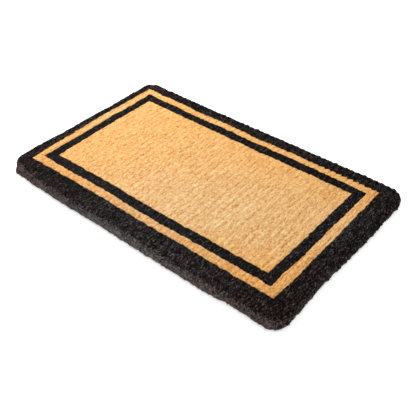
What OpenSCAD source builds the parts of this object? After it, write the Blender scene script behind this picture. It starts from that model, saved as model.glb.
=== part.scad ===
// Hand-woven coir door mat with a striped frame pattern.
// The pile stands on a woven base of chain and weft yarns, edged with lashed cords.
// Origin: centre of the underside, on the floor. +X runs along the length, +Z is up.
// All sizes are in millimetres.

/* [Overall size] */
// Length over the tips of the edge pile
mat_l = 914; // [600:1:1200]
// Width over the tips of the edge pile
mat_w = 584; // [400:1:900]
// Height from the floor to the tips of the pile
mat_t = 38; // [28:1:60]

/* [Pattern] */
// Width of the black border at the left end
border_left_w = 32; // [28:1:120]
// Width of the black border at the right end
border_right_w = 50; // [28:1:120]
// Width of the black border along the front
border_front_w = 55; // [28:1:120]
// Width of the black border along the back
border_back_w = 45; // [28:1:120]
// Width of the natural stripe
outer_stripe_w = 27; // [10:0.5:60]
// Width of the black stripe
inner_stripe_w = 27; // [10:0.5:60]

/* [Edge of the pile] */
// Radius of the mat's corners seen from above
corner_r = 36; // [20:1:38]
// Radius where the pile rolls over from the top to the side
edge_top_r = 17; // [6:0.5:20]
// Radius at the foot of the side
edge_foot_r = 9; // [3:0.5:12]
// How far the edge pile stands out past the woven base
pile_overhang = 22; // [16:1:30]
// Height of the edge pile's foot above the floor
foot_gap = 1.5; // [1:0.1:4]
// Clear space between one pile block and the next
pile_gap = 0.3; // [0.1:0.1:1]

/* [Woven base] */
// Spacing of the chain yarns and of the weft yarns
yarn_pitch = 18; // [12:0.5:24]
// Diameter of a chain yarn
chain_d = 3.6; // [2.5:0.1:5]
// Depth by which a lower chain yarn is pressed flat where it rests
chain_flat = 0.45; // [0.2:0.05:0.8]
// Diameter of a weft yarn
weft_d = 3.4; // [2.5:0.1:4]
// Clear space between one yarn and the next
yarn_gap = 0.15; // [0.05:0.05:0.5]

/* [Edge cords] */
// Diameter of the outer edge rope
rope_d = 8; // [6:0.5:8]
// Diameter of the inner edge cord
cord_d = 5; // [3:0.5:6]
// Clear space between a rope, a cord and the yarn ends
cord_gap = 0.3; // [0.1:0.1:1]
// Height of the edge ropes above the floor
rope_lift = 1.8; // [1.5:0.1:3]
// Thickness of the lashing yarn where it is pulled flat
lash_t = 1.1; // [0.8:0.1:1.4]
// Width of the lashing yarn along the rope
lash_w = 3; // [2:0.5:4]
// Clear space inside a lashing loop
lash_gap = 0.1; // [0.05:0.05:0.2]

/* [Output] */

/* [Hidden] */

black_coir = [0.10, 0.09, 0.09];
natural_coir = [0.82, 0.60, 0.34];
base_yarn = [0.55, 0.40, 0.24];
lash_yarn = [0.44, 0.31, 0.18];

// Half sizes, as [along X, along Y], of the nested outlines, and the centre that the pattern shares
mat_half = [mat_l / 2, mat_w / 2];
border_inner = mat_half - [border_left_w + border_right_w, border_front_w + border_back_w] / 2;
pattern_centre = [border_left_w - border_right_w, border_front_w - border_back_w] / 2;
outer_inner = border_inner - [outer_stripe_w, outer_stripe_w];
field_half = outer_inner - [inner_stripe_w, inner_stripe_w];
gap_half = [pile_gap / 2, pile_gap / 2];

// Woven base, from the floor up
base_half = mat_half - [pile_overhang, pile_overhang];
lower_z = chain_d / 2 - chain_flat;
weft_z = lower_z + chain_d / 2 + yarn_gap + weft_d / 2;
upper_z = weft_z + weft_d / 2 + yarn_gap + chain_d / 2;
rope_z = rope_lift + rope_d / 2;
lash_out = lash_gap + lash_t;
base_top = max(upper_z + chain_d / 2, rope_lift + rope_d + lash_out);
pile_z = base_top + pile_gap;
pile_h = mat_t - pile_z;
pocket = lash_out + pile_gap;

// Depth of the edge cords, measured in from the edge of the base
cord_in = rope_d + cord_gap + cord_d;
yarn_half = base_half - [cord_in + cord_gap, cord_in + cord_gap];
end_half_w = base_half[1] - cord_in - lash_out - cord_gap;

// Counts of yarns each side of the middle, kept clear of the edge cords
side_clear = lash_out + chain_d / 2 + cord_gap;
chain_n = floor((yarn_half[1] - side_clear) / yarn_pitch);
weft_n = floor((yarn_half[0] - side_clear) / yarn_pitch);

// Lashings sit every second pitch, in the spaces between the yarns
lash_pitch = 2 * yarn_pitch;
side_lash_n = floor((yarn_half[0] - yarn_pitch) / lash_pitch);
end_lash_n = floor((yarn_half[1] - yarn_pitch) / lash_pitch);
end_lash_shift = yarn_pitch / 4;
lash_corner = 1.2;

// Turn of each side about +Z, starting from the front, which faces -Y
function side_turn(side) = side == "front" ? 0 : side == "right" ? 90 : side == "back" ? 180 : 270;
// A half size seen from a side: [half length of the side, distance out to it]
function seen(half, side) = (side == "front" || side == "back") ? half : [half[1], half[0]];

// Corners of a rectangle, anticlockwise from the front left, and the direction from one to the next
function corners(half, centre) =
    [for (s = [[-1, -1], [1, -1], [1, 1], [-1, 1]]) centre + [s[0] * half[0], s[1] * half[1]]];
function along(side) = let (t = side_turn(side)) [cos(t), sin(t)];

// One side of a rectangular ring, cut to a mitre at both ends; out and in are corner lists
module mitred_run(side, out, in) {
    a = side_turn(side) / 90;
    b = (a + 1) % 4;
    g = along(side) * pile_gap / 2;
    polygon([out[a] + g, out[b] - g, in[b] - g, in[a] + g]);
}

module stripe_run(side, out, in) {
    translate([0, 0, pile_z])
        linear_extrude(pile_h)
            mitred_run(side, corners(out - gap_half, pattern_centre), corners(in + gap_half, pattern_centre));
}

// Section through the edge pile: the tips lie on x = 0 and the mat is on the -x side
module edge_section() {
    over = 1;
    difference() {
        translate([-corner_r, foot_gap]) square([corner_r, mat_t - foot_gap]);
        difference() {
            translate([-edge_top_r, mat_t - edge_top_r]) square(edge_top_r + over);
            translate([-edge_top_r, mat_t - edge_top_r]) circle(edge_top_r);
        }
        difference() {
            translate([-edge_foot_r, foot_gap - over]) square([edge_foot_r + over, edge_foot_r + over]);
            translate([-edge_foot_r, foot_gap + edge_foot_r]) circle(edge_foot_r);
        }
    }
}

// A straight length of the edge pile along one side, between the rounded corners
module edge_run(side) {
    h = seen(mat_half, side);
    rotate(side_turn(side))
        translate([-h[0] + corner_r, -h[1], 0])
            rotate([90, 0, 90])
                linear_extrude(2 * (h[0] - corner_r))
                    mirror([1, 0]) edge_section();
}

module edge_corner(sx, sy) {
    start = sx > 0 ? (sy > 0 ? 0 : 270) : (sy > 0 ? 90 : 180);
    translate([sx * (mat_half[0] - corner_r), sy * (mat_half[1] - corner_r), 0])
        rotate(start)
            rotate_extrude(angle = 90)
                translate([corner_r, 0]) edge_section();
}

// The whole mat as one slab with rolled edges, before the pattern and base are cut out
module rolled_slab() {
    for (side = ["front", "right", "back", "left"]) edge_run(side);
    for (sx = [-1, 1], sy = [-1, 1]) edge_corner(sx, sy);
    core = 2 * (mat_half - [corner_r, corner_r]);
    translate([-core[0] / 2, -core[1] / 2, foot_gap]) cube([core[0], core[1], mat_t - foot_gap]);
}

module block(half, centre, z0, z1) {
    translate([centre[0] - half[0], centre[1] - half[1], z0]) cube([2 * half[0], 2 * half[1], z1 - z0]);
}

module border_run(side) {
    over = 1;
    intersection() {
        difference() {
            rolled_slab();
            block(border_inner + gap_half, pattern_centre, -over, mat_t + over);
            block(base_half + [pocket, pocket], [0, 0], -over, pile_z);
        }
        translate([0, 0, -over])
            linear_extrude(mat_t + 2 * over)
                mitred_run(side, corners(mat_half, [0, 0]), corners(border_inner, pattern_centre));
    }
}

// A round yarn along X, centred on the origin
module yarn_x(d, half_l) {
    translate([-half_l, 0, 0]) rotate([0, 90, 0]) cylinder(d = d, h = 2 * half_l);
}

// The outer rope and the inner cord of one side; the front one lies along X
module edge_cords(side, half_l) {
    h = seen(base_half, side);
    rotate(side_turn(side)) {
        translate([0, -h[1] + rope_d / 2, rope_z]) yarn_x(rope_d, half_l);
        translate([0, -h[1] + cord_in - cord_d / 2, rope_z]) yarn_x(cord_d, half_l);
    }
}

// Loop of flat lashing yarn round the rope and cord of the front edge, cut across the rope
module lash_loop_section() {
    w = cord_in + 2 * lash_gap;
    h = rope_d + 2 * lash_gap;
    c = lash_corner;
    t = lash_t;
    difference() {
        polygon([
            [-t + c, -t], [w + t - c, -t], [w + t, -t + c], [w + t, h + t - c],
            [w + t - c, h + t], [-t + c, h + t], [-t, h + t - c], [-t, -t + c]
        ]);
        square([w, h]);
    }
}

module lashings(side, count, shift) {
    h = seen(base_half, side);
    rotate(side_turn(side))
        for (k = [-count : count])
            translate([k * lash_pitch + shift - lash_w / 2, -h[1] - lash_gap, rope_lift - lash_gap])
                rotate([90, 0, 90])
                    linear_extrude(lash_w) lash_loop_section();
}

module field_pile() {
    color(natural_coir) block(field_half - gap_half, pattern_centre, pile_z, mat_t);
}

module inner_stripe_front() {
    color(black_coir) stripe_run("front", outer_inner, field_half);
}

module inner_stripe_back() {
    color(black_coir) stripe_run("back", outer_inner, field_half);
}

module inner_stripe_left() {
    color(black_coir) stripe_run("left", outer_inner, field_half);
}

module inner_stripe_right() {
    color(black_coir) stripe_run("right", outer_inner, field_half);
}

module outer_stripe_front() {
    color(natural_coir) stripe_run("front", border_inner, outer_inner);
}

module outer_stripe_back() {
    color(natural_coir) stripe_run("back", border_inner, outer_inner);
}

module outer_stripe_left() {
    color(natural_coir) stripe_run("left", border_inner, outer_inner);
}

module outer_stripe_right() {
    color(natural_coir) stripe_run("right", border_inner, outer_inner);
}

module border_front() {
    color(black_coir) border_run("front");
}

module border_back() {
    color(black_coir) border_run("back");
}

module border_left() {
    color(black_coir) border_run("left");
}

module border_right() {
    color(black_coir) border_run("right");
}

module chain_lower() {
    color(base_yarn)
        for (k = [-chain_n : chain_n])
            translate([0, k * yarn_pitch, 0])
                difference() {
                    translate([0, 0, lower_z]) yarn_x(chain_d, yarn_half[0]);
                    translate([-yarn_half[0] - 1, -chain_d, -chain_d])
                        cube([2 * yarn_half[0] + 2, 2 * chain_d, chain_d]);
                }
}

module chain_upper() {
    color(base_yarn)
        for (k = [-chain_n : chain_n - 1])
            translate([0, (k + 0.5) * yarn_pitch, upper_z]) yarn_x(chain_d, yarn_half[0]);
}

module weft_yarns() {
    color(base_yarn)
        for (k = [-weft_n : weft_n])
            translate([k * yarn_pitch, 0, weft_z]) rotate(90) yarn_x(weft_d, yarn_half[1]);
}

module selvedge_front() {
    color(base_yarn) edge_cords("front", base_half[0]);
}

module selvedge_back() {
    color(base_yarn) edge_cords("back", base_half[0]);
}

module end_cord_left() {
    color(base_yarn) edge_cords("left", end_half_w);
}

module end_cord_right() {
    color(base_yarn) edge_cords("right", end_half_w);
}

module lashing_front() {
    color(lash_yarn) lashings("front", side_lash_n, yarn_pitch / 2);
}

module lashing_back() {
    color(lash_yarn) lashings("back", side_lash_n, yarn_pitch / 2);
}

module lashing_left() {
    color(lash_yarn) lashings("left", end_lash_n, end_lash_shift);
}

module lashing_right() {
    color(lash_yarn) lashings("right", end_lash_n, end_lash_shift);
}

field_pile();
inner_stripe_front();
inner_stripe_back();
inner_stripe_left();
inner_stripe_right();
outer_stripe_front();
outer_stripe_back();
outer_stripe_left();
outer_stripe_right();
border_front();
border_back();
border_left();
border_right();
chain_lower();
chain_upper();
weft_yarns();
selvedge_front();
selvedge_back();
end_cord_left();
end_cord_right();
lashing_front();
lashing_back();
lashing_left();
lashing_right();
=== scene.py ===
import math

import bpy
import numpy as np
from mathutils import Matrix, Vector


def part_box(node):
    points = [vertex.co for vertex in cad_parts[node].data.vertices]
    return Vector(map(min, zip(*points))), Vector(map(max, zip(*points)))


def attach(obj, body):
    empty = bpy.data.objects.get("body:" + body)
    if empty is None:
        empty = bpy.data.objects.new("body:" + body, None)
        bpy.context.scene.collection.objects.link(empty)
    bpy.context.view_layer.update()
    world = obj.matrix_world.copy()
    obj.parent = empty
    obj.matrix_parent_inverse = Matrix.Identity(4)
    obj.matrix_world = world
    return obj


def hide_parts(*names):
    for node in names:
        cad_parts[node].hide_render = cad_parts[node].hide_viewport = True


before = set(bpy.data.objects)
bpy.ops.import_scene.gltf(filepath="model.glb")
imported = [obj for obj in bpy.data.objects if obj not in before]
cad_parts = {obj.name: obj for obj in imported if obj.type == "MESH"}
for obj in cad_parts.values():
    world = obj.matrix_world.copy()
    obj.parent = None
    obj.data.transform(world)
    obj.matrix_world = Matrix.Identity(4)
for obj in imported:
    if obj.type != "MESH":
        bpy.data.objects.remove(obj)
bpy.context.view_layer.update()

# A coir door mat: a pale field inside a black and a pale stripe, a thick black border, and a woven
# base. Each piece is built from arrays as closed meshes, and stands for one CAD node.

MM = 0.001
SEED = 20

# ---------------------------------------------------------------- sizes, in millimetres, from the CAD


def box_mm(node):
    """Lowest and highest corner of a CAD node, in millimetres."""
    low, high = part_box(node)
    return np.array(low) / MM, np.array(high) / MM


SIDES = ("front", "right", "back", "left")
# Half the clear space between one block of pile and the next
HALF_GAP = 0.15
# Heights of the underside and the top of the pile, and of the border's foot
PILE_Z = box_mm("field_pile")[0][2]
TOP = box_mm("field_pile")[1][2]
FOOT = box_mm("border_front")[0][2]
# Half sizes, as (along X, along Y), of the nested outlines, and the centre that the pattern shares
PATTERN = (box_mm("field_pile")[0] + box_mm("field_pile")[1])[:2] / 2
FIELD = box_mm("field_pile")[1][:2] + HALF_GAP - PATTERN
INNER = (
    np.array([box_mm("inner_stripe_right")[1][0], box_mm("inner_stripe_back")[1][1]]) + HALF_GAP - PATTERN
)
OUTER = (
    np.array([box_mm("outer_stripe_right")[1][0], box_mm("outer_stripe_back")[1][1]]) + HALF_GAP - PATTERN
)
MAT = np.array([box_mm("border_right")[1][0], box_mm("border_back")[1][1]])
BASE = np.array([box_mm("selvedge_front")[1][0], box_mm("selvedge_back")[1][1]])

# Radii of the border: its corners seen from above, its rolled upper edge and its foot
CORNER_R = 36.0
TOP_R = 17.0
FOOT_R = 9.0
# Room between the base's edge cords and the border that covers them
POCKET = 1.5

# Spacing of the rows of pile, and of the tufts along a row
ROW = 17.8
TUFT = 10.5

# ---------------------------------------------------------------- seeded noise on numpy arrays
# A noise is written strength * noise(place, cell, seed): the cell is in millimetres, and each kind of
# noise has its own seed.


def smooth(t):
    """Smooth step from 0 to 1."""
    return t * t * (3.0 - 2.0 * t)


def lattice_hash(ix, iy, iz, seed):
    """A repeatable number from 0 to 1 for each integer point."""
    h = (ix * 374761393 + iy * 668265263 + iz * 2147483647 + seed * 974711) & 0xFFFFFFFF
    h = ((h ^ (h >> 13)) * 1274126177) & 0xFFFFFFFF
    h = ((h ^ (h >> 16)) * 2246822519) & 0xFFFFFFFF
    return ((h ^ (h >> 15)) & 0xFFFFFF) / float(0xFFFFFF)


def noise3(x, y, z, cell, seed):
    """Smooth value noise from -1 to 1 with features about one cell across."""
    x, y, z = np.broadcast_arrays(np.asarray(x, float), np.asarray(y, float), np.asarray(z, float))
    px, py, pz = x / cell, y / cell, z / cell
    ix, iy, iz = (np.floor(p).astype(np.int64) for p in (px, py, pz))
    fx, fy, fz = smooth(px - ix), smooth(py - iy), smooth(pz - iz)
    total = 0.0
    for dx in (0, 1):
        for dy in (0, 1):
            for dz in (0, 1):
                weight = (fx if dx else 1 - fx) * (fy if dy else 1 - fy) * (fz if dz else 1 - fz)
                total = total + weight * lattice_hash(ix + dx, iy + dy, iz + dz, seed)
    return 2.0 * total - 1.0


def noise2(x, y, cell, seed):
    return noise3(x, y, 0.5, cell, seed)


def noise1(x, cell, seed):
    return noise3(x, 0.5, 0.5, cell, seed)


def cell_noise(p, cell, seed):
    """Distance to the nearest jittered lattice point, over the cell size, and that point's own number."""
    q = p / cell
    base = np.floor(q).astype(np.int64)
    best = np.full(len(p), 9.0)
    which = np.zeros(len(p))
    for dx in (-1, 0, 1):
        for dy in (-1, 0, 1):
            for dz in (-1, 0, 1):
                i = base + np.array([dx, dy, dz])
                jitter = [lattice_hash(*i.T, seed + 7 * k) for k in range(3)]
                dist = np.linalg.norm(q - (i + np.stack(jitter, axis=1)), axis=1)
                near = dist < best
                best[near] = dist[near]
                which[near] = lattice_hash(*i[near].T, seed + 31)
    return best, which


# ---------------------------------------------------------------- the pile's rows and the ragged pattern


def row_phase(x, y):
    """Position across the tuft rows, in rows, with the rows slightly wavy."""
    return (x + 2.2 * noise2(x, y, 85.0, 3) + 0.8 * noise2(x, y, 24.0, 4)) / ROW


def tuft_of(x, y):
    """Row and tuft numbers of a point on the top of the pile."""
    row = np.floor(row_phase(x, y) + 0.5).astype(np.int64)
    shift = lattice_hash(row, 0 * row, 0 * row, 11)
    tuft = np.floor((y + 1.2 * noise2(x, y, 9.0, 5)) / TUFT + shift).astype(np.int64)
    return row, tuft


# How far each line of the pattern stands out from its nominal place, in millimetres: the field's edge,
# the line between the stripes, then the outer edge, each as (places along the side, shifts there)
LINE_LEAN = (
    {
        "front": ([-287, -191, -96, 0, 96, 191], [-2.9, -5.0, -3.5, -0.5, -1.2, -3.0]),
        "right": ([-167, 0, 167], [-3.2, -2.2, -0.8]),
        "back": ([-287, 0, 96, 191, 287], [0.5, -1.0, -1.0, 1.5, 2.5]),
        "left": ([-167, -60, 0, 167], [-1.7, 1.5, 1.6, 2.4]),
    },
    {
        "front": ([-383, -287, -191, 0, 96, 191, 383], [1.2, 1.7, -1.0, 3.0, 2.0, 0.0, 0.0]),
        "right": ([-200, -167, -111, 0, 56, 167], [-2.0, -3.5, 1.0, 1.0, 0.0, 1.5]),
        "back": ([-383, -287, -191, -96, 96, 191, 287, 383], [5.0, 3.2, 0.5, 3.0, 3.0, 6.0, 4.7, 2.1]),
        "left": ([-167, -56, 0, 167], [-0.2, 1.0, 2.8, 3.2]),
    },
    {
        "front": (
            [-416, -287, -191, -96, 0, 96, 191, 287, 416],
            [0.0, -1.2, -3.6, -2.4, -1.0, -3.0, -1.9, -2.4, -1.2],
        ),
        "right": ([-242, -215, -170, 0, 242], [-4.8, -3.2, -0.6, -0.5, -0.5]),
        "back": (
            [-416, -300, -190, -96, 0, 100, 200, 300, 416],
            [1.0, 0.4, -2.4, 0.5, -3.0, -3.4, -0.4, -0.8, -0.2],
        ),
        "left": (
            [-242, -215, -170, -110, -50, 0, 100, 242],
            [-11.0, -8.0, -4.2, -5.2, -1.5, 0.7, -0.1, -1.4],
        ),
    },
)

# How far from a line its tufts and its slow wander still move the pile
TOOTH_REACH = 7.5
LEAN_REACH = 14.0
# How much the ends of the rows differ along the front and back lines, and the tufts along the others
ROW_TEETH = 2.6
TUFT_TEETH = 2.0


def share_at(distance, reach):
    """How much of a shift is left at this distance from its line or corner."""
    return np.exp(-((distance / reach) ** 2))


def step_between(position, sharpness):
    """Number of the row or tuft that a position is in, and how far it has turned to the next one."""
    number = np.floor(position).astype(np.int64)
    return number, np.clip((position - number - 0.5) * sharpness, -0.5, 0.5) + 0.5


def teeth_of(number, step, seed, size):
    """Own shift of each row or tuft, turning to the next one's, and its own random number."""
    a = lattice_hash(number, 0 * number, 0 * number, seed)
    b = lattice_hash(number + 1, 0 * number, 0 * number, seed)
    return (a + (b - a) * step - 0.5) * size, a


def ragged(x, y):
    """Shift, in the plane, of a point of the nominal pattern: each tuft row ends where it ends."""
    u, v = x - PATTERN[0], y - PATTERN[1]
    dx, dy = np.zeros_like(x), np.zeros_like(y)
    row_pos = x / ROW + 0.5
    row, row_step = step_between(row_pos, 4.0)
    tuft, tuft_step = step_between(y / TUFT + 0.5, 3.0)
    for level, half in enumerate((FIELD, INNER, OUTER)):
        for sign in (-1, 1):
            seed = 40 + 4 * level + sign
            teeth, own = teeth_of(row, row_step, seed, ROW_TEETH)
            slow = 0.5 * noise1(x, 130.0, 60 + level + 3 * sign) + 1.3 * noise1(x, 5.0, seed + 5)
            if level == 2 and sign > 0:
                # The rows of the back stripe end in long teeth, longer towards the right
                share = row_pos - row
                saw = np.minimum(share / 0.8, (1 - share) / 0.2) - 0.5
                teeth = teeth + (4.0 + 6.0 * own) * saw * np.clip((u - 150) / 200, 0.12, 1)
            dy += (teeth + slow) * share_at(v - sign * half[1], TOOTH_REACH)
            teeth, own = teeth_of(tuft, tuft_step, seed + 100, TUFT_TEETH)
            slow = 0.5 * noise1(y, 120.0, 80 + level + 3 * sign) + 1.1 * noise1(y, 5.0, seed + 9)
            dx += (teeth + slow) * share_at(u - sign * half[0], TOOTH_REACH)
    for half, leans in zip((FIELD, INNER, OUTER), LINE_LEAN):
        for side, lean in leans.items():
            sign = -1 if side in ("front", "left") else 1
            if side in ("front", "back"):
                dy += sign * np.interp(u, *lean) * share_at(v - sign * half[1], LEAN_REACH)
            else:
                dx += sign * np.interp(v, *lean) * share_at(u - sign * half[0], LEAN_REACH)
    return dx, dy


# Painted sheen that pales the pile: each patch's centre from the pattern's, its half widths and its
# strength
PAINTED_SHEEN_BASE = -0.33
PAINTED_SHEEN_PATCHES = (
    ((191, -102), (174, 104), 0.63),
    ((-11, -249), (247, 400), 1.16),
    ((366, 53), (249, 142), 1.01),
    ((-460, 77), (176, 239), 0.58),
)


def painted_sheen_at(x, y):
    """Painted sheen on the pile: about 0 where it is deep in colour, 1 where a soft reflection pales it."""
    painted_sheen = np.full(np.shape(x), PAINTED_SHEEN_BASE)
    for (cx, cy), (wx, wy), strength in PAINTED_SHEEN_PATCHES:
        u, v = x - PATTERN[0] - cx, y - PATTERN[1] - cy
        painted_sheen += strength * np.exp(-((u / wx) ** 2) - (v / wy) ** 2)
    return painted_sheen


# The valleys between the rows: their depth, and their half width as a share of a row
VALLEY_DEPTH = 1.4
VALLEY_HALF = 0.13


def top_bump(x, y):
    """Height of the cut pile over its mean level, and the tone of its tuft."""
    phase = row_phase(x, y)
    across = phase - np.floor(phase + 0.5)
    valley = np.exp(-(((np.abs(across) - 0.5) / VALLEY_HALF) ** 2))
    row, tuft = tuft_of(x, y)
    each = lattice_hash(row, tuft, 0 * row, 21)
    strokes = noise2(x, 0.3 * y, 4.0, 22)
    bump = -VALLEY_DEPTH * valley + 0.6 * (each - 0.5) + 0.3 * strokes + 0.8 * noise2(x, y, 60.0, 23)
    # Each tuft and row differs in tone at random; the valleys between the rows are darker, a painted shade
    tone = (
        0.05 * (lattice_hash(row, tuft, 0 * row, 24) - 0.5)
        + 0.05 * (lattice_hash(row, 0 * row, 0 * row, 25) - 0.5)
        + 0.04 * noise2(x * 2.0, y * 0.7, 16.0, 26)
        - 0.09 * valley
    )
    return bump, tone


# ---------------------------------------------------------------- meshes


def make_piece(name, verts, faces, tone, material, nodes, smooth_count=None):
    """A mesh that stands for CAD nodes, from corners in millimetres.

    faces is a list of arrays of triangles or quads, and tone has one value for each corner. Only the
    first smooth_count faces are shaded smooth, or all of them if it isn't given.
    """
    mesh = bpy.data.meshes.new(name)
    loops = np.concatenate([f.reshape(-1) for f in faces]).astype(np.int32)
    sizes = np.concatenate([np.full(len(f), f.shape[1]) for f in faces]).astype(np.int32)
    starts = np.concatenate([[0], np.cumsum(sizes)[:-1]]).astype(np.int32)
    mesh.vertices.add(len(verts))
    mesh.vertices.foreach_set("co", (verts * MM).astype(np.float32).reshape(-1))
    mesh.loops.add(len(loops))
    mesh.loops.foreach_set("vertex_index", loops)
    mesh.polygons.add(len(sizes))
    mesh.polygons.foreach_set("loop_start", starts)
    mesh.update(calc_edges=True)
    smooth_faces = len(sizes) if smooth_count is None else smooth_count
    mesh.polygons.foreach_set("use_smooth", np.arange(len(sizes)) < smooth_faces)
    for layer_name, values in (("tone", tone), ("painted_sheen", painted_sheen_at(verts[:, 0], verts[:, 1]))):
        layer = mesh.attributes.new(layer_name, "FLOAT", "POINT")
        layer.data.foreach_set("value", np.asarray(values, dtype=np.float32))
    mesh.validate()
    obj = bpy.data.objects.new(name, mesh)
    bpy.context.scene.collection.objects.link(obj)
    mesh.materials.append(material)
    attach(obj, "root")
    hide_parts(*nodes)


def quad_normals(verts, quads):
    """Unit normal and area of each quad."""
    a, b, c, d = (verts[quads[:, k]] for k in range(4))
    n = np.cross(c - a, d - b)
    area = np.linalg.norm(n, axis=1)
    return n / np.maximum(area, 1e-9)[:, None], area / 2


def scatter(verts, quads, tone, count, rng):
    """Random points on the quads, even by area, with their normals and tones."""
    normals, area = quad_normals(verts, quads)
    pick = rng.choice(len(quads), size=count, p=area / area.sum())
    u, v = rng.random((2, count, 1))
    a, b, c, d = (verts[quads[pick, k]] for k in range(4))
    points = (a * (1 - u) + b * u) * (1 - v) + (d * (1 - u) + c * u) * v
    return points, normals[pick], tone[quads[pick, 0]]


# How deep a fibre's root sits, and the shares and the tones of the dark and light flecks among them
ROOT_DEPTH = 0.9
DARK_FLECKS, DARK_TONE = 0.08, -0.25
LIGHT_FLECKS, LIGHT_TONE = 0.09, 0.30


def needles(points, normals, tone, rng, lean, height, width, droop=0.0, spread=0.22, comb=1.0):
    """Thin closed four-faced spikes, one for each fibre end, leaning at random.

    lean is in radians from the surface's normal, and height out of the pile and width are in
    millimetres, each as (least, most). droop pulls the fibres of an upright surface down, comb below 1
    turns them to lie along Y, and spread is how much their tones differ.
    """
    n = len(points)
    turn = rng.uniform(0, 2 * math.pi, n)
    helper = np.where(np.abs(normals[:, 2:3]) > 0.7, [[1.0, 0, 0]], [[0, 0, 1.0]])
    side = np.cross(normals, helper)
    side /= np.linalg.norm(side, axis=1)[:, None]
    other = np.cross(normals, side)
    tilt = rng.uniform(lean[0], lean[1], n)[:, None]
    out = rng.uniform(height[0], height[1], n)[:, None]
    flat = side * np.cos(turn)[:, None] + other * np.sin(turn)[:, None]
    flat[:, 0] *= comb
    flat /= np.linalg.norm(flat, axis=1)[:, None]
    direction = normals * np.cos(tilt) + flat * np.sin(tilt)
    direction[:, 2] -= droop * (1 - np.abs(normals[:, 2]))
    direction /= np.linalg.norm(direction, axis=1)[:, None]
    rise = np.maximum((direction * normals).sum(1)[:, None], 0.25)
    length = out / rise
    root = points - direction * ROOT_DEPTH
    tip = points + direction * length
    wide = rng.uniform(width[0], width[1], n)[:, None]
    a1 = np.cross(direction, helper)
    a1 /= np.maximum(np.linalg.norm(a1, axis=1), 1e-6)[:, None]
    a2 = np.cross(direction, a1)
    start = rng.uniform(0, 2 * math.pi, n)[:, None]
    corners = []
    for k in range(3):
        angle = start + k * 2 * math.pi / 3
        corners.append(root + wide / 2 * (a1 * np.cos(angle) + a2 * np.sin(angle)))
    verts = np.stack(corners + [tip], axis=1).reshape(-1, 3)
    i = np.arange(n)[:, None] * 4
    faces = np.concatenate([i + [0, 1, 3], i + [1, 2, 3], i + [2, 0, 3], i + [0, 2, 1]], axis=1)
    own = tone + rng.normal(0, spread, n)
    fleck = rng.random(n)
    own = np.where(fleck < DARK_FLECKS, own + DARK_TONE, own)
    own = np.where(fleck > 1 - LIGHT_FLECKS, own + LIGHT_TONE, own)
    return verts, faces.reshape(-1, 3), np.repeat(own, 4)


def fibres_on(verts, quads, tone, counts, spikes, strands, rng, droop=0.0, comb=1.0):
    """Short standing fibre ends, and a few long ones that lie nearly flat.

    counts is (spikes, strands), and spikes and strands are each (lean, height, width) for needles().
    """
    points, normals, own = scatter(verts, quads, tone, counts[0], rng)
    v1, f1, t1 = needles(points, normals, own, rng, *spikes, droop=droop, comb=comb)
    points, normals, own = scatter(verts, quads, tone, counts[1], rng)
    v2, f2, t2 = needles(points, normals, own, rng, *strands, droop=droop, spread=0.36, comb=comb)
    return np.concatenate([v1, v2]), np.concatenate([f1, f2 + len(v1)]), np.concatenate([t1, t2])


def cap_fan(loop, centre):
    """Triangles from a closed loop of indices to one centre index."""
    return np.stack([loop, np.roll(loop, -1), np.full(len(loop), centre)], axis=1)


# Short and long fibres of the cut pile: each (lean, height, width) for needles()
TOP_SPIKES = (0.3, 1.3), (0.4, 1.3), (0.6, 1.1)
TOP_STRANDS = (1.3, 1.47), (0.6, 1.3), (0.7, 1.1)
# How far the surface that the fibres stand on lies under the level of their tips
TIP_ROOM = 0.8


def top_piece(name, corners, step, fibres, material, seed, shade=0.0):
    """A block of cut pile over a four-sided plan; corners run anticlockwise."""
    rng = np.random.default_rng(seed)
    p = [np.array(c, float) for c in corners]
    along = max(np.linalg.norm(p[1] - p[0]), np.linalg.norm(p[2] - p[3]))
    across = max(np.linalg.norm(p[3] - p[0]), np.linalg.norm(p[2] - p[1]))
    nu, nv = (max(int(round(length / step)), 2) + 1 for length in (along, across))
    u, v = np.meshgrid(np.linspace(0, 1, nu), np.linspace(0, 1, nv), indexing="ij")
    u, v = u.reshape(-1, 1), v.reshape(-1, 1)
    plan = (p[0] * (1 - u) + p[1] * u) * (1 - v) + (p[3] * (1 - u) + p[2] * u) * v
    dx, dy = ragged(plan[:, 0], plan[:, 1])
    x, y = plan[:, 0] + dx, plan[:, 1] + dy
    bump, tone = top_bump(x, y)
    # shade is painted light or shade over the whole run
    tone = tone + shade
    verts = np.stack([x, y, TOP - TIP_ROOM + bump], axis=1)
    i = np.arange(nu * nv).reshape(nu, nv)
    quads = np.stack([i[:-1, :-1], i[1:, :-1], i[1:, 1:], i[:-1, 1:]], axis=-1).reshape(-1, 4)
    rim = np.concatenate([i[:, 0], i[-1, 1:], i[-2::-1, -1], i[0, -2:0:-1]])
    low = verts[rim].copy()
    low[:, 2] = PILE_Z
    lower = len(verts) + np.arange(len(rim))
    centre = len(verts) + len(rim)
    walls = np.stack([rim, lower, np.roll(lower, -1), np.roll(rim, -1)], axis=1)
    underside = cap_fan(lower[::-1], centre)
    middle = np.array([[x.mean(), y.mean(), PILE_Z]])
    fibre_verts, fibre_faces, fibre_tone = fibres_on(
        verts, quads, tone, (fibres, fibres // 5), TOP_SPIKES, TOP_STRANDS, rng, comb=0.2
    )
    make_piece(
        name,
        np.concatenate([verts, low, middle, fibre_verts]),
        [quads, walls, underside, fibre_faces + centre + 1],
        0.5 + np.concatenate([tone, tone[rim], [0.0], fibre_tone]),
        material,
        [name],
        smooth_count=len(quads),
    )


# ---------------------------------------------------------------- materials


def new_material(name):
    """A material with only a Principled shader: the material, its node tree and the shader."""
    mat = bpy.data.materials.new(name)
    mat.use_nodes = True
    tree = mat.node_tree
    tree.nodes.clear()
    out = tree.nodes.new("ShaderNodeOutputMaterial")
    shader = tree.nodes.new("ShaderNodeBsdfPrincipled")
    tree.links.new(shader.outputs[0], out.inputs[0])
    return mat, tree, shader


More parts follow.
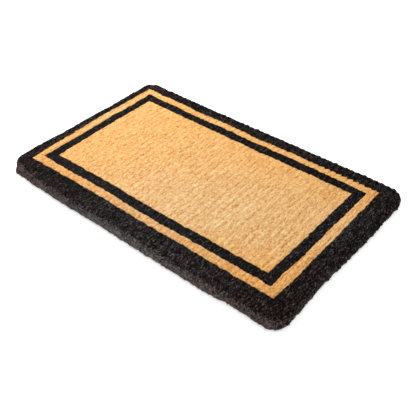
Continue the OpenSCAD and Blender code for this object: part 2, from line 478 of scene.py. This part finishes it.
def add_noise(tree, coords, scale, detail, stretch=(1, 1, 1)):
    """Output of a noise texture in the object's own coordinates."""
    mapping = tree.nodes.new("ShaderNodeMapping")
    mapping.inputs["Scale"].default_value = stretch
    tree.links.new(coords.outputs["Object"], mapping.inputs[0])
    tex = tree.nodes.new("ShaderNodeTexNoise")
    tex.inputs["Scale"].default_value = scale
    tex.inputs["Detail"].default_value = detail
    tree.links.new(mapping.outputs[0], tex.inputs["Vector"])
    return tex.outputs[0]


def math_node(tree, kind, a, b):
    """Output of a Math node; a and b are numbers or other nodes' outputs."""
    node = tree.nodes.new("ShaderNodeMath")
    node.operation = kind
    for socket, value in zip(node.inputs, (a, b)):
        if isinstance(value, (int, float)):
            socket.default_value = value
        else:
            tree.links.new(value, socket)
    return node.outputs[0]


def coir_material(name, stops, rough, grain, relief_depth, specular, tint=None):
    """Coir: the tone of each tuft and fibre, plus finer noise, picks a colour from the stops.

    Where the painted sheen lies, a soft reflection of light, the colour is multiplied by the tint.
    """
    mat, tree, shader = new_material(name)
    coords = tree.nodes.new("ShaderNodeTexCoord")
    tone = tree.nodes.new("ShaderNodeAttribute")
    tone.attribute_name = "tone"
    fine = add_noise(tree, coords, 520.0, 2.0, (1.0, 0.25, 0.6))
    mid = add_noise(tree, coords, 150.0, 2.0, (1.0, 0.28, 0.6))
    wide = add_noise(tree, coords, 9.0, 2.0)
    total = tone.outputs["Fac"]
    for source, share in ((fine, grain), (mid, 0.22 * grain), (wide, 0.12)):
        part = math_node(tree, "MULTIPLY_ADD", source, share)
        part.node.inputs[2].default_value = -0.5 * share
        total = math_node(tree, "ADD", total, part)
    ramp = tree.nodes.new("ShaderNodeValToRGB")
    last_tone = stops[-1][0]
    first, last = ramp.color_ramp.elements
    first.color, last.color = (*stops[0][1], 1), (*stops[-1][1], 1)
    for position, colour in stops[1:-1]:
        ramp.color_ramp.elements.new(position / last_tone).color = (*colour, 1)
    tree.links.new(math_node(tree, "DIVIDE", total, last_tone), ramp.inputs[0])
    colour = ramp.outputs[0]
    if tint:
        painted_sheen = tree.nodes.new("ShaderNodeAttribute")
        painted_sheen.attribute_name = "painted_sheen"
        cast = tree.nodes.new("ShaderNodeVectorMath")
        cast.operation = "MULTIPLY_ADD"
        cast.inputs[0].default_value = [c - 1 for c in tint]
        tree.links.new(painted_sheen.outputs["Fac"], cast.inputs[1])
        cast.inputs[2].default_value = (1, 1, 1)
        tinted = tree.nodes.new("ShaderNodeVectorMath")
        tinted.operation = "MULTIPLY"
        tree.links.new(colour, tinted.inputs[0])
        tree.links.new(cast.outputs[0], tinted.inputs[1])
        colour = tinted.outputs[0]
    tree.links.new(colour, shader.inputs["Base Color"])
    roughness = math_node(tree, "MULTIPLY_ADD", mid, 0.25)
    roughness.node.inputs[2].default_value = rough - 0.125
    tree.links.new(roughness, shader.inputs["Roughness"])
    relief = tree.nodes.new("ShaderNodeBump")
    relief.inputs["Strength"].default_value = 0.7
    relief.inputs["Distance"].default_value = relief_depth
    tree.links.new(fine, relief.inputs["Height"])
    tree.links.new(relief.outputs[0], shader.inputs["Normal"])
    shader.inputs["Specular IOR Level"].default_value = specular
    return mat


# The most of any one colour that a surface gives back
LIGHTEST = 0.97


def shades(mean, steps):
    """Colour stops: each step is a tone and how much lighter than the mean each channel is there."""
    return [(tone, tuple(min(m * k, LIGHTEST) for m, k in zip(mean, factor))) for tone, factor in steps]


natural = coir_material(
    "natural_coir_pile",
    shades(
        (0.775, 0.415, 0.132),
        [
            (0.0, (0.60, 0.38, 0.24)),
            (0.25, (0.86, 0.68, 0.52)),
            (0.50, (1.0, 1.0, 1.0)),
            (0.75, (1.10, 1.25, 1.45)),
            (1.0, (1.18, 1.50, 2.00)),
        ],
    ),
    rough=0.7,
    grain=2.2,
    relief_depth=0.0009,
    specular=0.15,
    tint=(0.97, 1.12, 1.50),
)
# Black pile: the stops up to tone 0.75 are the fibres' own spread of dark tone, and those from 1.0 up are
# painted highlights, the grey glints of light on the black fibres, which light flecks and grain reach
black = coir_material(
    "black_coir_pile",
    shades(
        (0.0046, 0.0034, 0.0031),
        [
            (0.0, (0.2, 0.2, 0.2)),
            (0.3, (0.55, 0.55, 0.55)),
            (0.50, (1.0, 1.0, 1.0)),
            (0.75, (4.4, 4.45, 4.5)),
            (1.0, (19.0, 20.0, 20.0)),
            (1.3, (48.0, 50.5, 50.5)),
        ],
    ),
    rough=0.65,
    grain=2.8,
    relief_depth=0.0012,
    specular=0.04,
    tint=(1.20, 1.40, 1.46),
)

# ---------------------------------------------------------------- field and stripes


def rectangle(half):
    """Corners of a rectangle about the pattern's centre, anticlockwise from the front left."""
    return [PATTERN + half * np.array(signs) for signs in ((-1, -1), (1, -1), (1, 1), (-1, 1))]


def ring_corners(side, out, inn):
    """Plan of one mitred run of a rectangular ring, anticlockwise from its first outer corner."""
    a = SIDES.index(side)
    b = (a + 1) % 4
    outer, inner = rectangle(out), rectangle(inn)
    return [outer[a], outer[b], inner[b], inner[a]]


# Painted light and shade: how much lighter or darker than its colour's mean each run of a stripe is
INNER_SHADE = {"front": -0.06, "right": -0.03, "back": -0.06, "left": -0.12}
OUTER_SHADE = {"front": -0.05, "right": 0.02, "back": 0.10, "left": 0.02}
# Size of the mesh's quads, and the number of fibres on the field and on each long and short run
FIELD_STEP, STRIPE_STEP = 3.0, 2.6
FIELD_FIBRES = 27000
INNER_FIBRES = {"front": 3400, "right": 1800, "back": 3400, "left": 1800}
OUTER_FIBRES = {"front": 3700, "right": 2100, "back": 3700, "left": 2100}

top_piece("field_pile", rectangle(FIELD), FIELD_STEP, FIELD_FIBRES, natural, SEED)
for n, side in enumerate(SIDES):
    top_piece(
        "inner_stripe_" + side, ring_corners(side, INNER, FIELD), STRIPE_STEP, INNER_FIBRES[side],
        black, SEED + 1 + n, INNER_SHADE[side],
    )
    top_piece(
        "outer_stripe_" + side, ring_corners(side, OUTER, INNER), STRIPE_STEP, OUTER_FIBRES[side],
        natural, SEED + 5 + n, OUTER_SHADE[side],
    )

# ---------------------------------------------------------------- border


def border_outline(side, step):
    """Outer edge of one run from mitre to mitre, evenly spaced, with the inner edge's points beside it.

    The run is laid out as the front one, and turned to its side at the end.
    """
    turn = SIDES.index(side) * math.pi / 2
    spin = np.array([[math.cos(turn), -math.sin(turn)], [math.sin(turn), math.cos(turn)]])
    flip = np.array([1.0, -1.0])
    half = MAT if side in ("front", "back") else MAT[::-1]
    centre = half - CORNER_R
    ends, arcs = [], []
    for k in (SIDES.index(side), (SIDES.index(side) + 1) % 4):
        inner = (rectangle(OUTER)[k] @ spin) * flip
        ends.append(inner)
        seen = np.array([abs(inner[0]), inner[1]])
        line = half - seen
        line = line / np.linalg.norm(line)
        rel = seen - centre
        reach = -(rel @ line) + math.sqrt((rel @ line) ** 2 - rel @ rel + CORNER_R**2)
        hit = rel + reach * line
        arcs.append(CORNER_R * math.atan2(hit[0], hit[1]))
    total = 2 * centre[0] + arcs[0] + arcs[1]
    s = np.linspace(-centre[0] - arcs[0], centre[0] + arcs[1], int(round(total / step)) + 1)
    angle = np.clip(np.abs(s) - centre[0], 0, None) / CORNER_R
    along = np.where(angle > 0, centre[0] + CORNER_R * np.sin(angle), np.abs(s)) * np.sign(s)
    outer = np.stack([along, -(centre[1] + CORNER_R * np.cos(angle))], axis=1)
    share = np.linspace(0, 1, len(s))[:, None]
    inner = (ends[0] * (1 - share) + ends[1] * share) * flip
    return drawn_out(outer @ spin.T), inner @ spin.T


# Power of the curve that the front left corner follows: 2 is a circle, and higher is squarer
SQUARENESS = 6.0


def drawn_out(outer):
    """The outline with its front left corner drawn out to a tighter turn than the others."""
    centre = CORNER_R - MAT
    rel = np.minimum(outer - centre, 0) / -CORNER_R
    length = np.maximum((rel**SQUARENESS).sum(axis=1) ** (1 / SQUARENESS), 1e-6)
    reach = np.where((rel > 0).all(axis=1), 1 / length, 1.0)[:, None]
    return centre + (outer - centre) * reach


def border_section(step):
    """The rolled edge, the side and the foot, as (millimetres in from the outline, height)."""
    path = []
    for a in np.linspace(math.pi / 2, 0, int(TOP_R * math.pi / 2 / step) + 1):
        path.append((TOP_R - TOP_R * math.cos(a), TOP - TOP_R + TOP_R * math.sin(a)))
    low_turn = FOOT + FOOT_R
    for z in np.linspace(TOP - TOP_R, low_turn, int((TOP - TOP_R - low_turn) / step) + 1)[1:]:
        path.append((0.0, z))
    for a in np.linspace(0, math.pi / 2, int(FOOT_R * math.pi / 2 / step) + 2)[1:]:
        path.append((FOOT_R - FOOT_R * math.cos(a), low_turn - FOOT_R * math.sin(a)))
    return path


# How far the outline stands out from the nominal one, as (places from -1 to 1 along the side, shifts)
OUTLINE_TRIM = {
    "front": (
        [-1.0, -0.9, -0.8, -0.7, -0.45, -0.15, 0.0, 0.35, 0.62, 0.68, 0.75, 0.9, 1.0],
        [-24, -8, 0, 1, 4, 1.5, 3, 4, 3.5, -2, -2, 0, 0],
    ),
    "right": ([-1.0, -0.8, -0.4, -0.1, 0.3, 0.5, 0.9, 1.0], [0, 0.5, -4, -1, 4, 3.5, 5, 4]),
    "back": ([-1.0, -0.7, 0.0, 0.8, 1.0], [0, -2, 0.5, 4.5, 4]),
    "left": ([-1.0, -0.9, -0.75, 0.0, 1.0], [-24, -8, 0, 0, 0]),
}
# Painted light on the upright sides, set for each side as it is lit: how much lighter it is just below the
# top, and then more from there to the foot
SIDE_LIGHT = {
    "front": (0.44, 0.09), "right": (0.06, 0.22), "back": (0.14, 0.18), "left": (0.28, 0.14)
}
# How far below the top the first of the two is complete
ROLL_DEPTH = 7.0
# Height of the ridges where rows or tufts come out at the edge: the even part, and the random part
RIDGES = {"front": (0.4, 1.2), "right": (0.5, 2.4), "back": (0.9, 1.6), "left": (0.5, 1.4)}
# Width of the blend between the shifts of two sides at a corner, as a share of half a side
CORNER_BLEND = 0.12


def outline_trim(x, y):
    """Outward shift of the outline: the sides of a hand-woven mat are not quite straight."""
    u, v = x / MAT[0], y / MAT[1]
    ends = {"front": (u, -v), "right": (v, u), "back": (u, v), "left": (v, -u)}
    total, weight = 0.0, 0.0
    for side, (along, out) in ends.items():
        share = np.clip(out - np.abs(along) + CORNER_BLEND, 0.0, None)
        total = total + share * np.interp(along, *OUTLINE_TRIM[side])
        weight = weight + share
    return total / np.maximum(weight, 1e-6)


def tuft_ridges(x, y, side):
    """Bumps round the edge where the rows, or the tufts of one row, come out."""
    turn = row_phase(x, y) if side in ("front", "back") else (y + 1.5 * noise1(y, 30.0, 90)) / TUFT
    number = np.floor(turn + 0.5).astype(np.int64)
    own = lattice_hash(number, 0 * number, 0 * number, 91)
    even, uneven = RIDGES[side]
    return even * np.cos(2 * math.pi * turn) * (0.5 + own) + uneven * (own - 0.5)


def border_rings(side, step):
    """Outline of a run, the way inwards, its depth, its rings as (inset, height), and how many show.

    The rings go from the inner edge over the top, down the side, and back round the hollow that
    covers the edge of the base.
    """
    outer, inner = border_outline(side, step)
    depth = np.linalg.norm(outer - inner, axis=1)
    inward = (inner - outer) / depth[:, None]
    top_steps = int(round((depth.max() - TOP_R) / step))
    rings = [(TOP_R + (depth - TOP_R) * share, TOP) for share in np.linspace(1, 0, top_steps + 1)[:-1]]
    rings += border_section(step)
    shown = len(rings)
    overhang = (MAT - BASE)[0] - POCKET
    rings += [(overhang, FOOT), (overhang, PILE_Z), (depth, PILE_Z)]
    return outer, inward, depth, rings, shown


def vertex_normals(verts, quads):
    """Normal at each corner, or zero where no quad meets it."""
    normals = np.zeros_like(verts)
    own, area = quad_normals(verts, quads)
    for k in range(4):
        np.add.at(normals, quads[:, k], own * area[:, None])
    length = np.linalg.norm(normals, axis=1)[:, None]
    return np.where(length > 1e-9, normals / np.maximum(length, 1e-9), 0)


def side_tone_of(side, x, y, z, each):
    """Tone of the upright pile: painted light, lighter towards the foot, with a tone for each tuft."""
    rolled, painted_foot_light = SIDE_LIGHT[side]
    light = rolled * np.clip((TOP - z) / ROLL_DEPTH, 0, 1) ** 0.7 + painted_foot_light * np.clip((TOP - z) / TOP, 0, 1)
    # Painted shade: the right side gets darker towards the back
    if side == "right":
        light = light * (1 - 0.7 * y / MAT[1])
    return (
        light
        + 0.10 * (each - 0.5)
        + 0.10 * noise3(x, y, z, 9.0, 73)
        + 0.10 * noise3(x, y, 0.5 * z, 4.5, 74)
    )


# The front left corner, with how far each change reaches from it: how much its upper and its lower
# edge are filled out, how far its foot flares to the front, and the size and height of its low toe
SQUARE_REACH, SQUARE_UPPER, SQUARE_LOWER = 55.0, 3.0, 2.0
FLARE_REACH, FLARE_OUT = 40.0, 14.0
TOE_REACH, TOE_OUT, TOE_HEIGHT = 46.0, 4.0, 14.0


def front_left_shape(x, y, z, slope):
    """Squarer edges, flare and toe of the front left corner, which die away with the distance to it."""
    away = np.hypot(x + MAT[0], y + MAT[1])
    roll = 2 * slope * np.sqrt(np.clip(1 - slope**2, 0, 1))
    filled = SQUARE_UPPER * np.clip(roll, 0, 1) + SQUARE_LOWER * np.clip(-roll, 0, 1)
    square = share_at(away, SQUARE_REACH) * filled
    flare = share_at(away, FLARE_REACH) * FLARE_OUT * (1 - z / TOP)
    toe = np.exp(-((away / TOE_REACH) ** 4)) * TOE_OUT * np.clip(1 - z / TOE_HEIGHT, 0, 1)
    return square, flare, toe


# Short and long fibres of the border: each (lean, height, width) for needles()
BORDER_SPIKES = (0.1, 1.2), (1.0, 3.2), (0.7, 1.3)
BORDER_STRANDS = (1.2, 1.45), (1.2, 2.4), (0.9, 1.3)
# Painted light and shade: how much lighter the border's top is than the stripes, and how much darker its
# front run gets towards the left
BORDER_SHADE = 0.10
FRONT_SHADE = 0.09
# Least height over the floor of the skin and of the fibres
SKIN_FLOOR = 0.25
FIBRE_FLOOR = 0.1


def border_piece(side, step, fibres, seed):
    """One run of the border: its skin, the hollow for the base, its mitred ends and its fibres."""
    rng = np.random.default_rng(seed)
    outer, inward, depth, rings, shown = border_rings(side, step)
    nu, nv = len(depth), len(rings)
    verts = np.zeros((nu, nv, 3))
    insets = np.zeros((nu, nv))
    for j, (inset, height) in enumerate(rings):
        insets[:, j] = inset
        verts[:, j, :2] = outer + inward * insets[:, j, None]
        verts[:, j, 2] = height
    verts = verts.reshape(-1, 3)
    i = np.arange(nu * nv).reshape(nu, nv)
    following = np.roll(i, -1, axis=1)
    quads = np.stack([i[:-1], following[:-1], following[1:], i[1:]], axis=-1)
    shown_quads = quads[:, : shown - 1].reshape(-1, 4)
    hidden_quads = quads[:, shown - 1 :].reshape(-1, 4)

    # Shape: tufts and lumps along the normals, then the shifts in the plane; hidden rings stay put
    normals = vertex_normals(verts, shown_quads)
    slope = normals[:, 2]
    x, y, z = verts.T
    dx, dy = ragged(x, y)
    bump, top_tone = top_bump(x + dx, y + dy)
    dist, each = cell_noise(verts * np.array([1.0, 1.0, 0.8]), 11.0, 70)
    lumps = (
        1.6 * (0.55 - dist) + 0.8 * noise3(x, y, z, 45.0, 71) + 1.2 * noise3(x, y, z, 6.0, 72) - 0.6
        + tuft_ridges(x, y, side)
    )
    up = np.clip(slope, 0, 1) ** 2
    square, flare, toe = front_left_shape(x, y, z, slope)
    near_roll = np.clip((1 - up) * 4 + 0.4, 0, 1)
    shift = square + up * (bump - TIP_ROOM + 0.6 * lumps * near_roll) + (1 - up) * lumps
    free = np.ones((nu, nv))
    free[:, shown:] = 0
    free = free.reshape(-1)
    moved = verts + normals * (shift * free)[:, None]
    moved[:, 0] += dx * free
    moved[:, 1] += dy * free
    outward = -np.repeat(inward, nv, axis=0)
    edge_share = (1 - np.clip(insets.reshape(-1) / np.repeat(depth, nv), 0, 1)) * free
    moved[:, :2] += outward * (outline_trim(x, y) * edge_share)[:, None]
    moved[:, 0] += 0.5 * toe * edge_share
    moved[:, 1] -= (flare + toe) * edge_share
    moved[:, 2] = np.maximum(moved[:, 2], SKIN_FLOOR)

    # Tone: the top's where the pile faces up, the side's elsewhere
    # Painted light on the border's top, and painted shade towards the left end of its front run
    top_tone = top_tone + BORDER_SHADE
    if side == "front":
        top_tone = top_tone - FRONT_SHADE * np.clip(-x / MAT[0], 0, 1)
    level = np.clip(slope, 0, 1) ** 6
    tone = level * top_tone + (1 - level) * side_tone_of(side, x, y, z, each)

    fibre_verts, fibre_faces, fibre_tone = fibres_on(
        moved, shown_quads, tone, (fibres, fibres // 6), BORDER_SPIKES, BORDER_STRANDS, rng,
        droop=0.25, comb=0.6,
    )
    fibre_verts[:, 2] = np.maximum(fibre_verts[:, 2], FIBRE_FLOOR)
    count = nu * nv
    ends = moved.reshape(nu, nv, 3)[[0, -1]].mean(axis=1)
    caps = [cap_fan(i[0][::-1], count), cap_fan(i[-1], count + 1)]
    make_piece(
        "border_" + side,
        np.concatenate([moved, ends, fibre_verts]),
        [shown_quads, hidden_quads, *caps, fibre_faces + count + 2],
        0.5 + np.concatenate([tone, [0, 0], fibre_tone]),
        black,
        ["border_" + side],
        smooth_count=len(shown_quads),
    )


BORDER_STEP = 2.7
BORDER_FIBRES = {"front": 20000, "right": 13000, "back": 20000, "left": 13000}

for n, side in enumerate(SIDES):
    border_piece(side, BORDER_STEP, BORDER_FIBRES[side], SEED + 10 + n)

# ---------------------------------------------------------------- woven base

# Diameters of the rope, the cord and the yarns, and the spacing of the yarns
ROPE_D = 8.0
CORD_D = 5.0
CHAIN_D = 3.6
WEFT_D = 3.4
YARN_PITCH = 18.0
# Spacing of the lashing's loops, width and thickness of its yarn, radius of a loop's bends, and how
# far the yarn's own twist turns in a millimetre, in radians
LASH_PITCH = 36.0
LASH_W = 3.0
LASH_T = 1.1
LASH_BEND = 1.6
LASH_TWIST = 1.9

YARN_STEPS = [(0.0, (0.4, 0.36, 0.33)), (0.5, (1.0, 1.0, 1.0)), (1.0, (1.7, 1.9, 2.1))]
yarn = coir_material(
    "base_yarn",
    shades((0.33, 0.21, 0.10), YARN_STEPS),
    rough=0.75,
    grain=1.0,
    relief_depth=0.0006,
    specular=0.15,
)
lash = coir_material(
    "lash_yarn",
    shades((0.22, 0.13, 0.06), YARN_STEPS),
    rough=0.75,
    grain=1.0,
    relief_depth=0.0005,
    specular=0.15,
)

# Tone of a yarn's cut ends
END_TONE = -0.2


def swept(path, closed, lateral, vertical, radius, start):
    """Skin over a path, with its corners, quads, end triangles and tones.

    lateral and vertical are the section's axes at each point, and radius(s) gives the section's
    radii and tones at the distances s along the path. start is the number of the first corner.
    """
    step = np.linalg.norm(np.diff(path, axis=0), axis=1)
    s = np.concatenate([[0], np.cumsum(step)])
    scale, tone = radius(s[:, None])
    count = scale.shape[1]
    angle = np.linspace(0, 2 * math.pi, count, endpoint=False)
    cos, sin = np.cos(angle)[None, :, None], np.sin(angle)[None, :, None]
    ring = lateral[:, None, :] * cos + vertical[:, None, :] * sin
    verts = path[:, None, :] + ring * scale[:, :, None]
    n = len(path)
    i = start + np.arange(n * count).reshape(n, count)
    following = np.roll(i, -1, axis=0) if closed else i[1:]
    own = i if closed else i[:-1]
    quads = np.stack(
        [own, np.roll(own, -1, axis=1), np.roll(following, -1, axis=1), following], axis=-1
    ).reshape(-1, 4)
    verts, tone = verts.reshape(-1, 3), tone.reshape(-1)
    fans = np.zeros((0, 3), dtype=np.int64)
    if not closed:
        centre = start + len(verts)
        fans = np.concatenate([cap_fan(i[0][::-1], centre), cap_fan(i[-1], centre + 1)])
        verts = np.concatenate([verts, path[:1], path[-1:]])
        tone = np.concatenate([tone, [END_TONE, END_TONE]])
    return verts, quads, fans, tone


def laid(diameter, plies, pitch, sides, own, seed):
    """Surface of a yarn or rope laid from plies, with a groove between one ply and the next, darkened with
    painted shade.
    """

    def radius(s):
        angle = np.linspace(0, 2 * math.pi, sides, endpoint=False)[None, :]
        lobe = np.abs(np.cos(plies * (angle - 2 * math.pi * s / pitch) / 2 + seed))
        uneven = noise2(s, angle, 7.0, 200 + seed)
        size = diameter / 2 * (0.78 + 0.18 * lobe + 0.02 * uneven)
        # Painted shade: the tone is darker down in the grooves between the plies
        return size, own - 0.25 * (1 - lobe) + 0.1 * uneven

    return radius


# Least height over the floor of a yarn's skin and hairs
YARN_FLOOR = 0.05
# Plies, pitch of the twist, sides of the section and spacing of the rings
YARN_LAY = 2, 15.0, 8, 2.5
ROPE_LAY = 3, 26.0, 18, 2.0
CORD_LAY = 3, 18.0, 18, 2.0
# Stray hairs on a layer of yarns and on an edge rope with its cord, and their (lean, height, width)
YARN_HAIRS = 3000
ROPE_HAIRS = 1500
HAIR = (0.9, 1.4), (0.2, 0.5), (0.25, 0.4)


def laid_yarns(name, runs, material, seed, hairs):
    """One piece made of straight laid yarns, with stray hairs on them.

    Each run is (start, end, diameter, plies, pitch, sides, step).
    """
    rng = np.random.default_rng(seed)
    parts, count = [], 0
    for k, (start, end, diameter, plies, pitch, sides, step) in enumerate(runs):
        start, end = np.array(start, float), np.array(end, float)
        length = np.linalg.norm(end - start)
        share = np.linspace(0, 1, int(length / step) + 1)[:, None]
        path = start * (1 - share) + end * share
        across = np.cross((0, 0, 1.0), (end - start) / length)
        lateral = np.tile(across, (len(path), 1))
        vertical = np.tile(np.array([0, 0, 1.0]), (len(path), 1))
        radius = laid(diameter, plies, pitch, sides, rng.normal(0, 0.06), k % 7)
        parts.append(swept(path, False, lateral, vertical, radius, count))
        count += len(parts[-1][0])
    verts, quads, fans, tone = (np.concatenate(group) for group in zip(*parts))
    points, normals, own = scatter(verts, quads, tone, hairs, rng)
    hv, hf, ht = needles(points, normals, own, rng, *HAIR)
    verts = np.concatenate([verts, hv])
    verts[:, 2] = np.maximum(verts[:, 2], YARN_FLOOR)
    make_piece(
        name, verts, [quads, fans, hf + count], 0.5 + np.concatenate([tone, ht]), material, [name],
        smooth_count=len(quads),
    )


for node, along, diameter in (
    ("chain_lower", 0, CHAIN_D), ("chain_upper", 0, CHAIN_D), ("weft_yarns", 1, WEFT_D)
):
    low, high = box_mm(node)
    first, last = low[1 - along] + diameter / 2, high[1 - along] - diameter / 2
    z = high[2] - diameter / 2
    runs = []
    for place in np.linspace(first, last, int(round((last - first) / YARN_PITCH)) + 1):
        ends = [np.array([place, place, z]) for _ in range(2)]
        ends[0][along], ends[1][along] = low[along], high[along]
        runs.append((*ends, diameter, *YARN_LAY))
    laid_yarns(node, runs, yarn, SEED + 30 + along, YARN_HAIRS)

for node, along, sign in (
    ("selvedge_front", 0, -1), ("selvedge_back", 0, 1), ("end_cord_left", 1, -1), ("end_cord_right", 1, 1)
):
    low, high = box_mm(node)
    across = 1 - along
    edge, inner_edge = (low, high) if sign < 0 else (high, low)
    runs = []
    for place, diameter, lay in (
        (edge[across] - sign * ROPE_D / 2, ROPE_D, ROPE_LAY),
        (inner_edge[across] + sign * CORD_D / 2, CORD_D, CORD_LAY),
    ):
        ends = [np.array([place, place, (low[2] + high[2]) / 2]) for _ in range(2)]
        ends[0][along], ends[1][along] = low[along], high[along]
        runs.append((*ends, diameter, *lay))
    laid_yarns(node, runs, yarn, SEED + 40 + along, ROPE_HAIRS)


def lashing(node, along):
    """Flat loops of yarn wound round an edge rope and its cord."""
    low, high = box_mm(node)
    across = 1 - along
    t, bend = LASH_T / 2, LASH_BEND
    loop = []
    for cx, cz, a0 in (
        (high[across] - t - bend, high[2] - t - bend, 0), (low[across] + t + bend, high[2] - t - bend, 90),
        (low[across] + t + bend, low[2] + t + bend, 180), (high[across] - t - bend, low[2] + t + bend, 270),
    ):
        for a in np.radians(np.linspace(a0, a0 + 90, 6)):
            loop.append((cx + bend * math.cos(a), cz + bend * math.sin(a), math.cos(a), math.sin(a)))
    loop = np.array(loop)
    first, last = low[along] + LASH_W / 2, high[along] - LASH_W / 2
    parts, count = [], 0

    def radius(s):
        angle = np.linspace(0, 2 * math.pi, 10, endpoint=False)[None, :]
        flat = np.hypot(np.cos(angle) / (LASH_T / 2), np.sin(angle) / (LASH_W / 2))
        strand = np.sin(s * LASH_TWIST + 3 * angle)
        # Painted light and shade: the tone follows the strands, lighter on their crests and darker in the
        # grooves
        return (0.93 + 0.05 * strand) / flat, -0.12 + 0.15 * strand

    for place in np.linspace(first, last, int(round((last - first) / LASH_PITCH)) + 1):
        path = np.zeros((len(loop), 3))
        path[:, along], path[:, across], path[:, 2] = place, loop[:, 0], loop[:, 1]
        out = np.zeros_like(path)
        out[:, across], out[:, 2] = loop[:, 2], loop[:, 3]
        width = np.zeros_like(path)
        width[:, along] = 1.0 if along == 1 else -1.0
        parts.append(swept(path, True, out, width, radius, count))
        count += len(parts[-1][0])
    verts, quads, _, tone = (np.concatenate(group) for group in zip(*parts))
    make_piece(node, verts, [quads], 0.5 + tone, lash, [node])


for side, along in (("front", 0), ("back", 0), ("left", 1), ("right", 1)):
    lashing("lashing_" + side, along)

# ---------------------------------------------------------------- floor, light, camera

# The camera, as fitted to the photo in half lengths of the pattern: its focal length and the photo's
# width in pixels, the half length in metres, and what it looks at and from how far, in half lengths
PHOTO_F = 640.6
PHOTO_W = 416.0
SENSOR_W = 36.0
HALF_LENGTH = 0.416
LOOK_AT = (0.2616, -0.2317)
DISTANCE = 3.923

azimuth, elevation, roll = math.radians(38.95), math.radians(40.52), math.radians(0.56)
target = Vector((
    LOOK_AT[0] * HALF_LENGTH + PATTERN[0] * MM, LOOK_AT[1] * HALF_LENGTH + PATTERN[1] * MM, TOP * MM
))
away = Vector((
    math.sin(azimuth) * math.cos(elevation), -math.cos(azimuth) * math.cos(elevation), math.sin(elevation)
))
camera_data = bpy.data.cameras.new("camera")
camera_data.sensor_width = SENSOR_W
camera_data.lens = PHOTO_F / PHOTO_W * SENSOR_W
camera = bpy.data.objects.new("camera", camera_data)
bpy.context.scene.collection.objects.link(camera)
position = target + away * DISTANCE * HALF_LENGTH
look = (-away).to_track_quat("-Z", "Y").to_matrix().to_4x4()
camera.matrix_world = Matrix.Translation(position) @ look @ Matrix.Rotation(roll, 4, "Z")
bpy.context.scene.camera = camera

FLOOR_HALF = 40.0
floor_mesh = bpy.data.meshes.new("floor")
floor_corners = [(FLOOR_HALF * a, FLOOR_HALF * b, 0) for a, b in ((-1, -1), (1, -1), (1, 1), (-1, 1))]
floor_mesh.from_pydata(floor_corners, [], [(0, 1, 2, 3)])
floor = bpy.data.objects.new("floor", floor_mesh)
bpy.context.scene.collection.objects.link(floor)
floor_mat, _, floor_shader = new_material("floor")
floor_shader.inputs["Base Color"].default_value = (0.93, 0.93, 0.93, 1)
floor_shader.inputs["Roughness"].default_value = 0.9
floor_shader.inputs["Emission Color"].default_value = (1, 1, 1, 1)
floor_shader.inputs["Emission Strength"].default_value = 0.6
floor_mesh.materials.append(floor_mat)

KEY_FROM = Vector((-1.5, 0.45, 1.5))
KEY_AT = Vector((-0.1, 0, 0))
key_data = bpy.data.lights.new("key", "AREA")
key_data.shape = "DISK"
key_data.size = 1.2
key_data.energy = 44
key = bpy.data.objects.new("key", key_data)
key.location = KEY_FROM
key.rotation_euler = (KEY_AT - KEY_FROM).to_track_quat("-Z", "Y").to_euler()
bpy.context.scene.collection.objects.link(key)

world = bpy.data.worlds.new("world")
world.use_nodes = True
world.node_tree.nodes["Background"].inputs[0].default_value = (1, 1, 1, 1)
world.node_tree.nodes["Background"].inputs[1].default_value = 0.64
bpy.context.scene.world = world
bpy.context.scene.view_settings.view_transform = "Standard"
